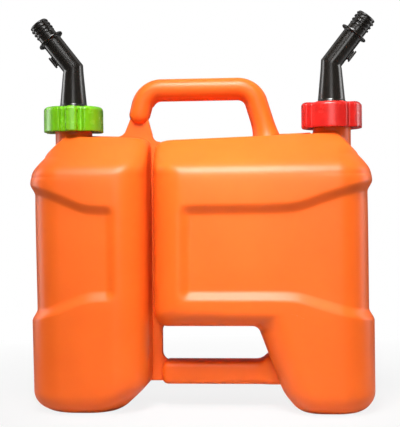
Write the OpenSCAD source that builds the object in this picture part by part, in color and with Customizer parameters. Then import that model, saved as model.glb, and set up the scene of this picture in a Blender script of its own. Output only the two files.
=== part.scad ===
// Double canister for fuel and oil: two hollow tanks in one blow moulding, joined by a
// pinched web, with a carry handle, a lower grip bar, and a bent spout on each neck.
// The mould parts on the plane y = 0. The origin is on the floor, midway between the necks.

/* [Tanks] */
// Width across both tanks
body_w = 360; // [340:1:380]
// Depth of the tanks, front to back
body_d = 140; // [124:1:160]
// Height of the tank tops at the necks
tank_h = 289; // [276:1:304]
// Wall of the blow moulding
wall = 2.4; // [1.6:0.1:3]
// Rounding of the upright edges
corner_r = 23; // [18:0.5:26]
// Rounding of the bottom edges, front, back and outside
bottom_r = 22; // [16:0.5:24]
// Height of the slanted underside of the oil tank beside the web
oil_chamfer_h = 28; // [24:0.5:32]
// Lean of the oil tank's outer side, in millimetres over its height
oil_draft = 4; // [0:0.5:6]

/* [Shoulders] */
// Drop from the tank tops to the front shoulder line
shoulder_drop = 37; // [32:0.5:40]
// Half depth of the flat land along the tank tops
land_half = 24.5; // [23.5:0.25:27]
// Slope of the outer shoulder, run over rise
chamfer_run = 0.95; // [0.85:0.01:1.05]
// Rounding of the tank tops beside the web
top_r = 11; // [8:0.5:13]
// Rise of the tank tops towards the necks, per millimetre
top_rise = 0.03; // [0:0.005:0.035]

/* [Waist] */
// Depth of the waist recess
waist_depth = 5.5; // [3:0.25:7]
// Height of each ledge of the waist
ledge_h = 10; // [8:0.5:12]
// Lower ledge's upper edge on the front
waist_low = 127; // [122:0.5:130]
// Lower ledge's upper edge on the outer side
waist_low_side = 106; // [102:0.5:110]
// Drop from the tank tops to the upper ledge's lower edge, on the front
waist_high_drop = 84; // [78:0.5:88]
// The same drop on the outer side
waist_high_side_drop = 61; // [58:0.5:64]
// Distance from the outer side at which the oil tank's ledges start to slant
oil_knee = 62; // [52:1:70]
// Distance from the outer side at which the fuel tank's ledges start to slant
fuel_knee = 77; // [60:1:90]

/* [Web] */
// Distance of the web from the middle, towards the oil tank
web_offset = 51.2; // [46:0.1:56]
// Width of the web between the tanks
web_w = 6.2; // [5:0.1:9]
// Thickness of the web
web_t = 6; // [4:0.5:8]
// Height of the seam fin along the tank tops
fin_h = 2.5; // [1.5:0.25:4]
// Width of the web's leg at its foot, beside the handle's blind end
web_leg_w = 29; // [24:0.5:32]

/* [Lower opening] */
// Height of the fuel tank's underside
under_z = 89; // [82:0.5:92]
// Rounding of the underside's corner beside the web
under_r = 14; // [10:0.5:18]
// Rounding of the underside's front and back edges
under_edge = 15; // [10:0.5:16]
// Rounding where the underside meets the foot
armpit_r = 9; // [6:0.5:12]
// Distance from the outer side to the foot's flank, at the underside
foot_w = 120; // [112:1:128]
// Slant of the foot's flank, run over rise
foot_slant = 0.367; // [0.3:0.01:0.42]
// Height of the lower bar's bottom
bar_z = 24.5; // [23:0.5:28]
// Height of the lower bar
bar_h = 25; // [20:0.5:28]
// Depth of the lower bar
bar_d = 38; // [30:1:46]
// Rounding of the lower bar's edges
bar_r = 7; // [4:0.5:9]
// Width of the web strip beside the lower bar
strip_w = 10.5; // [8:0.5:13]
// Rounding of the opening's corners
opening_r = 8; // [5:0.5:9]

/* [Handle] */
// Diameter of the handle's tube
handle_d = 22; // [19:0.5:24]
// Height of the handle above the tank tops
handle_rise = 62; // [56:0.5:70]
// Start of the left bend, from the middle
handle_left = 43; // [38:0.5:46]
// Start of the right bend, from the middle
handle_right = 39; // [34:0.5:44]
// Bend radius of the tube's axis
bend_r = 22; // [18:0.5:24]
// Lean of the left leg
left_lean = 14; // [8:0.5:18]
// Lean of the right leg
right_lean = 17; // [12:0.5:20]
// Length of the left leg past its bend
blind_l = 10.5; // [8:0.5:14]
// Flare of the right leg where it meets the tank
foot_flare = 4; // [2:0.25:6]

/* [Necks] */
// Distance between the necks
neck_spacing = 278; // [274:0.5:282]
// Outer diameter of the necks
neck_od = 40; // [38:0.5:41]
// Bore of the necks
neck_bore = 32; // [28:0.5:33]
// Height of the neck rims above the tank tops
neck_h = 25; // [23:0.5:28]
// Height of the moulded collar under the thread
collar_h = 10; // [9:0.5:12]

/* [Nuts] */
// Height of a nut
nut_h = 27; // [24:0.5:28]
// Depth of the thread between neck and nut
thread_gap = 1.9; // [1.4:0.1:2.2]
// Thickness of the nut's lip
nut_lip = 3; // [2:0.25:4]
// Radius at the bottom of the grooves between the grips
groove_r = 26.5; // [25.5:0.25:28]
// Radius over the three wide grips
grip_r = 32; // [30:0.25:33]
// Half the angle that a wide grip takes up
grip_half = 36; // [33:0.5:38]
// Radius over the three narrow wings
wing_r = 34; // [32:0.25:36]
// Width of a narrow wing
wing_w = 12.5; // [10:0.5:14]
// Rounding of the nut's upper edge
nut_edge = 4; // [2:0.25:5]
// Turn of the fuel nut about its neck
fuel_nut_turn = 265; // [0:1:360]
// Turn of the oil nut about its neck
oil_nut_turn = 336; // [0:1:360]

/* [Spouts] */
// Thickness of the flat gaskets
gasket_t = 2; // [1.5:0.25:3]
// Thickness of the clamped spout flange
flange_t = 3; // [2:0.25:4]
// Diameter of the clamped spout flange
flange_d = 39; // [37:0.5:40]
// Diameter of the spout where it passes the nut
spout_collar_d = 31; // [30:0.25:32]
// Running gap between spout and nut
spout_gap = 0.3; // [0.2:0.05:0.5]
// Diameter at the foot of the spout's cone
cone_d = 29; // [27:0.5:30]
// Diameter of the spout's tube
tube_d = 21.4; // [20:0.2:23]
// Wall of the spout
spout_wall = 2.4; // [1.6:0.1:3]
// Height of the bend above the nut
bend_h = 42.5; // [36:0.5:50]
// Lean of the spout's tube
spout_lean = 38; // [30:1:45]
// Distance from the bend to the stop ring
stop_l = 39.4; // [34:0.2:46]
// Diameter of the stop ring
stop_d = 29.8; // [26:0.2:32]
// Thickness of the stop ring
stop_t = 1.8; // [1.2:0.1:3]
// Length of the screwed tip
tip_l = 22.9; // [18:0.1:28]
// Core diameter of the screwed tip
tip_d = 19.6; // [18.5:0.1:20]
// Bore of the spout's tip
tip_bore = 15.6; // [13:0.1:16]
// Distance of the cap lug from the stop ring
lug_l = 18.8; // [16:0.2:22]
// Length of the cap lug's plate
lug_plate_l = 14.4; // [12:0.2:16]
// Length of the cap lug's stub
lug_stub_l = 10; // [8:0.2:11]
// Height of the cap lug over the tube
lug_h = 4; // [3:0.1:5]
// Thickness of the cap lug's plate
lug_t = 1.2; // [1:0.1:2]
// Width of the cap lug
lug_w = 6; // [5:0.2:8]

/* [Hidden] */
$fn = 64;
orange = [1, 0.42, 0.14];
black = [0.1, 0.09, 0.08];
rubber = [0.2, 0.2, 0.21];
green = [0.45, 0.75, 0.1];
red = [0.82, 0.1, 0.08];

// Inner flanks, tank widths and neck places, each tank measured outwards from its flank
oil_in = -web_offset - web_w / 2;
fuel_in = -web_offset + web_w / 2;
oil_w = body_w / 2 + oil_in;
fuel_w = body_w / 2 - fuel_in;
oil_neck_u = oil_in + neck_spacing / 2;
fuel_neck_u = neck_spacing / 2 - fuel_in;
neck_r = neck_od / 2;
neck_fillet = 1.5;
collar_z = tank_h + collar_h;
rim_z = tank_h + neck_h;
gasket_z = rim_z + gasket_t;
flange_z = gasket_z + flange_t;
nut_z = flange_z + nut_lip;
half_d = body_d / 2;
handle_r = handle_d / 2;
handle_z = tank_h + handle_rise - handle_r;
bar_left = oil_in + strip_w;

// Shares of a smooth step, a rounded edge, a rounded ramp and a rounded lower of two
function ease(t) = let (c = min(1, max(0, t))) c * c * (3 - 2 * c);
function edge(h, r) = h >= r ? 0 : r - sqrt(r * r - pow(r - max(h, 0), 2));
function ramp(h, run, soft) = run * (h + sqrt(h * h + soft * soft)) / 2;
function lower(a, b, soft) = (a + b - sqrt((a - b) * (a - b) + soft * soft)) / 2;

// Shoulder: the front slope starts at slope_z, the outer chamfer at chamfer_z
soft_edge = 8;
slope_z = tank_h - shoulder_drop;
slope_run = (half_d - land_half) / shoulder_drop;
chamfer_drop = 1.3;
chamfer_z = slope_z - chamfer_drop;
function shoulder(z) = ramp(z - slope_z, slope_run, soft_edge);
function chamfer_at(u, w, in) = chamfer_z + (w - u - in) / chamfer_run - in;

// Sides at a height: inner flank of the oil tank and of the foot, and both outer sides
foot_in = fuel_w - foot_w;
oil_chamfer_run = 1.1;
oil_chamfer_soft = 4;
oil_toe_r = 7;
foot_toe_h = 20;
foot_toe_run = 0.45;
foot_toe_soft = 6;
foot_toe_r = 8;
function oil_flank(z) =
    ramp(oil_chamfer_h - z, oil_chamfer_run, oil_chamfer_soft) + edge(z, oil_toe_r);
function foot_flank(z) = foot_in + foot_slant * (under_z - z)
    + ramp(foot_toe_h - z, foot_toe_run, foot_toe_soft) + edge(z, foot_toe_r);
function outer(z, w, draft) =
    w - draft * (1 - min(1, z / slope_z)) - edge(z, bottom_r)
    - ramp(z - chamfer_z, chamfer_run, soft_edge);
function depth(z) = half_d - edge(z, bottom_r) - shoulder(z);

// A section holds the flank, outer side, half depth, edge radii, heights at the flank,
// front and outer side, recess share, and the wall's lift inside the shell
function section(ui, uo, hd, ri, ro, zi, zf, zo, recess, lift) =
    [ui, uo, hd, ri, ro, zi, zf, zo, recess, lift];
function inset(s, t) = [s[0] + t, s[1] - t, s[2] - t, s[3] - t, s[4] - t,
    s[5] + s[9] * t, s[6] + s[9] * t, s[7] + s[9] * t, s[8], s[9]];

// Sections from the floor to the top of the rounded foot, with the flank at ui
foot_top = 30;
foot_levels = [0, 1.2, 3.6, 7.2, 12, 17, 22.5, foot_top];
function foot_section(z, ui, w, draft) = section(ui, outer(z, w, draft), depth(z), corner_r,
    corner_r, z, z, z, 0, 1 - min(1, z / foot_top));

// Sections of both ledges, each from one edge to the other
ledge_steps = [0, 0.2, 0.4, 0.6, 0.8, 1];
function low_ledge(w, draft) = [for (t = ledge_steps)
    let (zf = waist_low - ledge_h * (1 - t), zo = waist_low_side - ledge_h * (1 - t))
    section(0, outer(zo, w, draft), half_d, corner_r, corner_r, zf, zf, zo, ease(t), 0)];
function high_ledge(w, draft) = [for (t = ledge_steps)
    let (zf = tank_h - waist_high_drop + ledge_h * t,
        zo = tank_h - waist_high_side_drop + ledge_h * t)
    section(0, outer(zo, w, draft), half_d, corner_r, corner_r, zf, zf, zo, 1 - ease(t), 0)];

// Sections of the shoulder, which stop outside the neck's foot and end on the flat land
land_corner = 12;
stop_spread = 6;
shoulder_levels = [0.06, 0.14, 0.22, 0.3, 0.4, 0.52, 0.64, 0.76, 0.86, 0.94, 1];
function shoulder_sections(w, draft, neck_u) =
    let (base = tank_h - shoulder_drop - ledge_h)
    [for (t = shoulder_levels)
    let (z = base + (tank_h - base) * t, r = corner_r - (corner_r - land_corner) * t,
        stop = neck_u + neck_r + neck_fillet + 1 + stop_spread * (1 - t))
    section(edge(tank_h - z, top_r), max(outer(z, w, draft), stop), depth(z), r, r, z, z, z, 0,
        -ease((t - 0.1) / 0.9))];

oil_sections = concat(
    [for (z = foot_levels) foot_section(z, oil_flank(z), oil_w, oil_draft)],
    low_ledge(oil_w, oil_draft), high_ledge(oil_w, oil_draft),
    shoulder_sections(oil_w, oil_draft, oil_neck_u));

// The fuel tank's flank climbs the foot, turns along the underside and up beside the web
slant_angle = atan(foot_slant);
armpit_u = foot_in + foot_slant * armpit_r - armpit_r / cos(slant_angle);
armpit_angles = [slant_angle, slant_angle + (90 - slant_angle) / 3,
    slant_angle + (90 - slant_angle) * 2 / 3, 90];
under_shares = [0.7, 0.35];
turn_angles = [0, 22.5, 45, 67.5, 90];
bulge_z = waist_low - ledge_h;
bulge_side_z = waist_low_side - ledge_h;
bulge_clear = 10;
side_clear = 6;
edge_z = lower(under_z + under_edge, bulge_z - bulge_clear, 1);
turn_steps = 13;
function side_z(k) = foot_top + (bulge_side_z - side_clear - foot_top) * k / turn_steps;
function front_z(k) = edge_z + (bulge_z - edge_z) * (k - 5) / (turn_steps - 4);
function turn_section(k, ui, zi, zf, lift) = section(ui, outer(side_z(k), fuel_w, 0), half_d,
    corner_r, corner_r, zi, zf, side_z(k), 0, lift);
fuel_sections = concat(
    [for (z = foot_levels) foot_section(z, foot_flank(z), fuel_w, 0)],
    [for (k = [1:2]) let (z = foot_top + (under_z - armpit_r - foot_top) * k / 3)
        turn_section(k, foot_flank(z), z, z, 0)],
    [for (k = [0:3]) let (a = armpit_angles[k],
            zi = under_z - armpit_r + armpit_r * sin(a))
        turn_section(k + 3, armpit_u + armpit_r * cos(a), zi, zi + (edge_z - zi) * k / 3, k / 3)],
    [for (k = [0:1]) turn_section(k + 7, under_r + (armpit_u - under_r) * under_shares[k],
        under_z, front_z(k + 7), 1)],
    [for (k = [0:4]) let (a = turn_angles[k])
        turn_section(k + 9, under_r * (1 - sin(a)), under_z + under_r * (1 - cos(a)),
            front_z(k + 9), 1 - k / 4)],
    low_ledge(fuel_w, 0), high_ledge(fuel_w, 0), shoulder_sections(fuel_w, 0, fuel_neck_u));

// Half of a ring of points, from the flank along the front to the outer side
arc_steps = 5;
front_points = 11;
half_points = 2 * (arc_steps + 1) + front_points;
mask_start = corner_r + 4;
mask_run = 14;
function land_z(u, z, w, neck_u, in) =
    let (rise = top_rise * (u - neck_u) * ease((z - slope_z) / shoulder_drop))
    lower(z + rise, chamfer_at(u, w, in), 1.5);
function slant(s, u, knee) =
    let (start = s[1] - knee, t = min(1, max(0, (u - start) / knee)))
    s[6] + (s[7] - s[6]) * t * (1.5 - 0.5 * t);
function half_ring(s, w, neck_u, knee, in) = concat(
    [for (k = [0:arc_steps]) let (a = 90 * k / arc_steps, u = s[0] + s[3] * (1 - cos(a)))
        [u, s[2] - s[3] * (1 - sin(a)),
        land_z(u, s[5] + (s[6] - s[5]) * (1 - cos(a)), w, neck_u, in)]],
    [for (k = [1:front_points]) let (f = pow(k / (front_points + 1), 1.15),
            u = s[0] + s[3] + (s[1] - s[0] - s[3] - s[4]) * f,
            cut = waist_depth * s[8] * ease((u - mask_start) / mask_run))
        [u, s[2] - cut, land_z(u, slant(s, u, knee), w, neck_u, in)]],
    [for (k = [0:arc_steps]) let (a = 90 * k / arc_steps, r = s[4], cut = waist_depth * s[8],
            u = s[1] - r * (1 - sin(a)))
        [u - cut * sin(a), s[2] - r * (1 - cos(a)) - cut * cos(a),
        land_z(u, slant(s, u, knee), w, neck_u, in)]]);
function neck_half(r, neck_u) = [for (k = [0:half_points - 1])
    let (a = 180 * (k + 0.5) / half_points) [neck_u - r * cos(a), r * sin(a)]];
function whole(half) = concat([for (p = half) [p[0], -p[1], p[2]]],
    [for (k = [len(half) - 1:-1:0]) half[k]]);
function neck_ring(r, neck_u, w, in, rise) = whole([for (p = neck_half(r, neck_u))
    [p[0], p[1], land_z(p[0], tank_h - in, w, neck_u, in) + rise]]);
function flat_ring(r, neck_u, z) = whole([for (p = neck_half(r, neck_u)) [p[0], p[1], z]]);

// Triangles between rings that follow each other, closed at the first and the last ring
function skin(count, n) = concat([[for (i = [0:n - 1]) i]],
    [for (k = [0:count - 2], i = [0:n - 1]) let (a = k * n + i, b = k * n + (i + 1) % n)
        each [[a, a + n, b + n], [a, b + n, b]]],
    [[for (i = [n - 1:-1:0]) (count - 1) * n + i]]);

// A tank is one closed skin: up the outside, over the neck's collar and down the inside,
// where every second section is enough
module tank(sections, w, neck_u, knee) {
    last = len(sections) - 1;
    rings = concat(
        [for (s = sections) whole(half_ring(s, w, neck_u, knee, 0))],
        [neck_ring(neck_r + neck_fillet, neck_u, w, 0, 0),
        neck_ring(neck_r, neck_u, w, 0, neck_fillet),
        flat_ring(neck_r, neck_u, collar_z),
        flat_ring(neck_bore / 2, neck_u, collar_z),
        neck_ring(neck_bore / 2, neck_u, w, wall, 0)],
        [for (k = [last:-1:0]) if (k % 2 == 0 || k == last)
            whole(half_ring(inset(sections[k], wall), w, neck_u, knee, wall))]);
    polyhedron([for (ring = rings) each ring], skin(len(rings), 2 * half_points),
        convexity = 8);
}

module oil_tank() {
    color(orange) translate([oil_in, 0, 0]) mirror([1, 0, 0])
        tank(oil_sections, oil_w, oil_neck_u, oil_knee);
}

module fuel_tank() {
    color(orange) translate([fuel_in, 0, 0]) tank(fuel_sections, fuel_w, fuel_neck_u, fuel_knee);
}

// Necks: the finish that carries the thread, on top of the moulded collar
module neck(side) {
    color(orange) translate([side * neck_spacing / 2, 0, collar_z]) difference() {
        cylinder(d = neck_od, h = rim_z - collar_z);
        translate([0, 0, -1]) cylinder(d = neck_bore, h = rim_z - collar_z + 2);
    }
}

module oil_neck() { neck(-1); }

module fuel_neck() { neck(1); }

// Web: a flat plate on the parting plane, fitted to the flanks of both tanks
function flank_points(sections, w, neck_u) = [for (s = sections)
    [s[0], land_z(s[0], s[5], w, neck_u, 0)]];
oil_flank_points = [for (p = flank_points(oil_sections, oil_w, oil_neck_u)) [oil_in - p[0], p[1]]];
fuel_flank_points = [for (p = flank_points(fuel_sections, fuel_w, fuel_neck_u))
    [fuel_in + p[0], p[1]]];
turn_start = len(foot_levels) + 8;
function land_point(x, side) = side < 0
    ? [x, land_z(oil_in - x, tank_h, oil_w, oil_neck_u, 0)]
    : [x, land_z(x - fuel_in, tank_h, fuel_w, fuel_neck_u, 0)];
function arc(x, z, r, from, to) = [for (k = [0:6]) let (a = from + (to - from) * k / 6)
    [x + r * cos(a), z + r * sin(a)]];
fin_gap = neck_r + neck_fillet + 0.5;
blind_from = 176;
blind_to = 325;
function oil_flank_at(z) = lookup(z, [for (p = oil_flank_points) [p[1], p[0]]]);
function foot_flank_at(z) = lookup(z, [for (k = [0:turn_start - 6])
    [fuel_flank_points[k][1], fuel_flank_points[k][0]]]);

// Handle: one bent tube, swept from its blind left end to its foot on the fuel tank's top.
// Each ring has its middle, the direction of the tube in the parting plane, and its radius
left_end = [-handle_left - bend_r * cos(left_lean), handle_z - bend_r * (1 - sin(left_lean))];
blind = left_end - blind_l * [sin(left_lean), cos(left_lean)];
right_end = [handle_right + bend_r * cos(right_lean), handle_z - bend_r * (1 - sin(right_lean))];
leg_l = (right_end[1] - tank_h) / cos(right_lean);
bend_steps = 8;
blind_steps = 5;
flare_steps = 4;
tube_sides = 24;
function heading(a) = [cos(a), sin(a)];
function bend_ring(x, a, r) = [[x, handle_z - bend_r] + bend_r * heading(a), a - 90, r];
function handle_rings(thin) = let (r = handle_r - thin, up = 90 - left_lean) concat(
    [for (k = [0:blind_steps - 1]) let (a = 90 * (k + 0.5) / (blind_steps + 0.5))
        [blind - r * cos(a) * heading(up), up, r * sin(a)]],
    [[blind, up, r]],
    [for (k = [0:bend_steps]) bend_ring(-handle_left, 180 - left_lean - up * k / bend_steps, r)],
    [for (k = [0:bend_steps]) bend_ring(handle_right, 90 - (90 - right_lean) * k / bend_steps, r)],
    [for (k = [1:flare_steps]) let (t = k / flare_steps)
        [right_end + leg_l * t * [sin(right_lean), -cos(right_lean)], right_lean - 90,
        r + foot_flare * t * t]]);
function tube_ring(ring) = [for (k = [0:tube_sides - 1])
    let (a = 360 * (k + 0.5) / tube_sides, across = ring[2] * sin(a) * heading(ring[1] + 90))
    [ring[0][0] + across[0], ring[2] * cos(a), ring[0][1] + across[1]]];
function on_land(p) = let (way = [sin(right_lean), -cos(right_lean)],
        from = land_point(p[0], 1)[1], t = (from - p[2]) / (way[1] - top_rise * way[0]))
    [p[0] + t * way[0], p[1], p[2] + t * way[1]];
function handle_points(thin) = let (rings = handle_rings(thin), last = len(rings) - 1)
    concat([for (k = [0:last - 1]) tube_ring(rings[k])],
        [[for (p = tube_ring(rings[last])) on_land(p)]]);

module carry_handle() {
    outside = handle_points(0);
    inside = handle_points(wall);
    rings = concat(outside, [for (k = [len(inside) - 1:-1:0]) inside[k]]);
    color(orange) polyhedron([for (ring = rings) each ring], skin(len(rings), tube_sides),
        convexity = 8);
}

module centre_web() {
    top_left = oil_flank_points[len(oil_flank_points) - 1];
    fin_end = land_point(-neck_spacing / 2 + fin_gap, -1);
    leg_left = [oil_in - web_leg_w, land_point(oil_in - web_leg_w, -1)[1] + fin_h];
    leg_right = fuel_in + top_r - opening_r;
    land_right = fuel_flank_points[len(fuel_flank_points) - 1];
    outline = concat(
        [[bar_left, bar_z], [oil_flank_at(bar_z), bar_z]],
        [for (p = oil_flank_points) if (p[1] > bar_z) p],
        [fin_end, fin_end + [0, fin_h], leg_left],
        arc(blind[0], blind[1], handle_r, blind_from, blind_to),
        arc(leg_right, land_right[1] + opening_r, opening_r, 180, 270),
        [for (k = [len(fuel_flank_points) - 1:-1:turn_start + 1]) fuel_flank_points[k]],
        arc(fuel_in + under_r, under_z - opening_r, opening_r, 90, 180),
        arc(bar_left + opening_r, bar_z + bar_h + opening_r, opening_r, 180, 270),
        [[bar_left, bar_z + bar_h]]);
    color(orange) rotate([90, 0, 0]) linear_extrude(height = web_t, center = true)
        polygon(outline);
}

// Lower bar: a rounded grip between the web strip and the foot's flank
module rounded_square(w, h, r) {
    polygon(concat(arc(w / 2 - r, h / 2 - r, r, 0, 90), arc(r - w / 2, h / 2 - r, r, 90, 180),
        arc(r - w / 2, r - h / 2, r, 180, 270), arc(w / 2 - r, r - h / 2, r, 270, 360)));
}

module bar_section(start, thin) {
    translate([bar_left + start, 0, bar_z + bar_h / 2]) rotate([90, 0, 90])
        linear_extrude(height = fuel_w)
            rounded_square(bar_d - 2 * thin, bar_h - 2 * thin, bar_r - thin);
}

module lower_bar() {
    top = bar_z + bar_h;
    flank = concat([[foot_flank_at(bar_z), bar_z]],
        [for (p = fuel_flank_points) if (p[0] > fuel_in + foot_in && p[1] > bar_z && p[1] < top) p],
        [[foot_flank_at(top), top]]);
    color(orange) difference() {
        intersection() {
            rotate([90, 0, 0]) linear_extrude(height = bar_d, center = true)
                polygon(concat([[bar_left, top], [bar_left, bar_z]], flank));
            bar_section(-1, 0);
        }
        bar_section(wall, wall);
    }
}

// Gaskets: flat rings on the neck rims
gasket_inset = 1;
module gasket(side) {
    color(rubber) translate([side * neck_spacing / 2, 0, rim_z]) difference() {
        cylinder(d = neck_od - 2 * gasket_inset, h = gasket_t);
        translate([0, 0, -1]) cylinder(d = neck_bore, h = gasket_t + 2);
    }
}

module oil_gasket() { gasket(-1); }

module fuel_gasket() { gasket(1); }

// Spouts: a clamped flange, a cone, a bend and a leaning tube with a screwed tip
tube_l = stop_l + tip_l;
spout_bend_z = nut_z + bend_h;
cone_step = 2;
cone_z = nut_z + cone_step;
module spout_tip(r, from, to) {
    translate([0, 0, spout_bend_z]) rotate([0, spout_lean, 0])
        translate([0, 0, from]) cylinder(r = r, h = to - from);
}

module spout_shape() {
    translate([0, 0, gasket_z]) cylinder(d = flange_d, h = flange_t);
    translate([0, 0, flange_z]) cylinder(d = spout_collar_d, h = cone_z - flange_z);
    translate([0, 0, cone_z]) cylinder(d1 = cone_d, d2 = tube_d, h = spout_bend_z - cone_z);
    translate([0, 0, spout_bend_z]) sphere(d = tube_d);
    spout_tip(tube_d / 2, 0, stop_l);
    spout_tip(stop_d / 2, stop_l - stop_t / 2, stop_l + stop_t / 2);
    spout_tip(tip_d / 2, stop_l, tube_l);
    translate([0, 0, spout_bend_z]) rotate([0, spout_lean, 0]) translate([0, 0, stop_l - lug_l]) {
        translate([0, -lug_w / 3, -lug_stub_l / 2])
            cube([tube_d / 2 + lug_h - lug_t / 2, lug_w * 2 / 3, lug_stub_l]);
        translate([tube_d / 2 + lug_h - lug_t, -lug_w / 2, -lug_plate_l / 2])
            cube([lug_t, lug_w, lug_plate_l]);
    }
}

module spout_bore() {
    tube_bore = tube_d / 2 - spout_wall;
    translate([0, 0, gasket_z - 1])
        cylinder(d = cone_d - 2 * spout_wall, h = cone_z - gasket_z + 1);
    translate([0, 0, cone_z])
        cylinder(d1 = cone_d - 2 * spout_wall, r2 = tube_bore, h = spout_bend_z - cone_z);
    translate([0, 0, spout_bend_z]) sphere(r = tube_bore);
    spout_tip(tube_bore, 0, stop_l);
    spout_tip(tip_bore / 2, stop_l - 1, tube_l + 1);
}

module spout(side) {
    color(black) translate([side * neck_spacing / 2, 0, 0]) rotate([0, 0, 90 - side * 90])
        difference() {
            spout_shape();
            spout_bore();
        }
}

module oil_spout() { spout(-1); }

module fuel_spout() { spout(1); }

// Nuts: three wide grips and three narrow wings around a threaded skirt and a lip
grip_edge = 3;
grip_round = 6;
side_turn = grip_half - grip_round;
function grip_corner(k, from, to) = let (at = (grip_r - grip_edge) * heading(k * side_turn))
    [for (t = [0:1 / 3:1]) at + grip_edge * heading(k * (side_turn + from + (to - from) * t))];
function grip_side(k) = groove_r / 2 * heading(k * side_turn)
    + grip_edge * heading(k * (side_turn + 90));
module nut_outline() {
    circle(r = groove_r);
    for (turn = [0, 120, 240]) rotate([0, 0, turn]) {
        polygon(concat([grip_side(-1)], grip_corner(-1, 90, 0),
            [for (k = [-0.75:0.25:0.75]) grip_r * heading(k * side_turn)],
            grip_corner(1, 0, 90), [grip_side(1)]));
        rotate([0, 0, 60]) translate([wing_r / 2, 0]) rounded_square(wing_r, wing_w, grip_edge);
    }
}

module nut(side, turn) {
    edge_r = max(grip_r, wing_r) - nut_edge;
    color(side < 0 ? green : red) translate([side * neck_spacing / 2, 0, nut_z - nut_h])
        rotate([0, 0, turn]) difference() {
            intersection() {
                linear_extrude(height = nut_h) nut_outline();
                rotate_extrude() polygon([[0, 0], [edge_r + nut_edge + 1, 0],
                    [edge_r + nut_edge + 1, nut_h - nut_edge],
                    for (a = [0:30:90]) [edge_r, nut_h - nut_edge] + nut_edge * heading(a),
                    [0, nut_h]]);
            }
            translate([0, 0, -1]) cylinder(r = neck_r + thread_gap, h = nut_h - nut_lip + 1);
            cylinder(d = spout_collar_d + 2 * spout_gap, h = nut_h + 1);
        }
}

module oil_nut() { nut(-1, oil_nut_turn); }

module fuel_nut() { nut(1, fuel_nut_turn); }

oil_tank();
fuel_tank();
oil_neck();
fuel_neck();
centre_web();
carry_handle();
lower_bar();
oil_gasket();
fuel_gasket();
oil_spout();
fuel_spout();
oil_nut();
fuel_nut();
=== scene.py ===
import bpy
import numpy as np
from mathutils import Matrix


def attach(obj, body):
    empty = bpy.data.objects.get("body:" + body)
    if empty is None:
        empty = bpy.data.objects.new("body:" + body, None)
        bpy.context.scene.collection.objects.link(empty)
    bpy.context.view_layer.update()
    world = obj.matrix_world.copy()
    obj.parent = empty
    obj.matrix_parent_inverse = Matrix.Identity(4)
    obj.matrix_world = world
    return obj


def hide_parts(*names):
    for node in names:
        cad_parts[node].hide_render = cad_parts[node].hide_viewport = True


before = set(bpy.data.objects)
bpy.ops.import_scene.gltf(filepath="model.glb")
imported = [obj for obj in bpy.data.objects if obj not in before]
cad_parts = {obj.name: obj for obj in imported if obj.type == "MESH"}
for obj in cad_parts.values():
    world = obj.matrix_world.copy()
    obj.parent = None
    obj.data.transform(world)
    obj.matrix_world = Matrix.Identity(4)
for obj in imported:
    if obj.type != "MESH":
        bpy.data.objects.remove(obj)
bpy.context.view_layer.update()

# Oil tank and fuel tank
# Two hollow tanks of one orange polyethylene blow moulding. Each wall is a stack of rounded
# sections that climbs from the floor over waist and shoulder to the collar of its neck.
BODY_D, TANK_H, WALL = 140.0, 289.0, 2.4
CORNER_R, OUTER_R, LAND_R, LAND_HALF = 34.0, 36.0, 12.0, 24.5
BOTTOM_R, BOTTOM_SIDE_R, TOP_R = 22.0, 22.0, 11.0
SLOPE_Z, CHAMFER_Z, CHAMFER_RUN, TOP_RISE, SOFT = 252.0, 250.7, 0.95, 0.03, 8.0
SLOPE_RUN = (BODY_D / 2 - LAND_HALF) / (TANK_H - SLOPE_Z)
WAIST_DEPTH, LEDGE_H, SIDE_LEDGE_H, WAIST_LOW, WAIST_LOW_SIDE = 5.5, 13.0, 13.0, 128.5, 107.5
WAIST_HIGH, WAIST_HIGH_SIDE, BULGE_Z, WAIST_START, WAIST_FADE = 203.5, 226.5, 244.8, 27.0, 14.0
UNDER_Z, UNDER_R, EDGE_Z, ARMPIT_R = 89.0, 14.0, 103.9, 9.0
FOOT_W, FOOT_SLANT, FOOT_TOP, FOOT_FLAT = 120.0, 0.367, 30.0, 12.0
OIL_IN, FUEL_IN, OIL_W, FUEL_W = -54.3, -48.1, 125.7, 228.1
NECK_X, NECK_R, NECK_BORE_R, COLLAR_Z, RIM_Z = 139.0, 20.0, 16.0, 299.0, 314.0
NECK_FILLET, SEAM_W, SEAM_H, KNEE_SOFT = 4.0, 0.5, 0.3, 0.14
TOE_Z, TOE_RUN, TOE_SOFT, TOE_R = 20.0, 0.45, 6.0, 8.0
OIL_TOE_Z, OIL_TOE_RUN, OIL_TOE_SOFT, OIL_TOE_R = 28.0, 1.1, 4.0, 7.0
OIL_LEAN, OIL_KNEE, FUEL_LEAN, FUEL_KNEE, FOOT_RISE, FOOT_STEPS = 4.0, 62.0, 0.0, 77.0, 60, 13


def ease(t):
    """Smooth step, 3 t^2 - 2 t^3, held at 0 and 1 outside its run."""
    t = np.clip(t, 0, 1)
    return t * t * (3 - 2 * t)


def edge(h, r):
    """How far a rounded edge of radius r stands back at a distance h from its face."""
    return r - np.sqrt(r * r - (r - np.clip(h, 0, r)) ** 2)


def ramp(h, run, soft):
    """A slope that starts softly at h = 0: run times the mean of h and its hyperbola."""
    return run * (h + np.sqrt(h * h + soft * soft)) / 2


def lower(a, b, soft):
    """The lower of two surfaces, with the corner between them rounded."""
    return (a + b - np.sqrt((a - b) ** 2 + soft * soft)) / 2


def outer_side(z, w, lean):
    """Outer side: the width less its lean, its bottom edge and the shoulder's chamfer."""
    return (w - lean * (1 - np.clip(z / SLOPE_Z, 0, 1)) - edge(z, BOTTOM_SIDE_R)
            - ramp(z - CHAMFER_Z, CHAMFER_RUN, SOFT))


def half_depth(z):
    """Half the depth at a height: full, less the bottom edge and the shoulder's slope."""
    return BODY_D / 2 - edge(z, BOTTOM_R) - ramp(z - SLOPE_Z, SLOPE_RUN, SOFT)


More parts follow.
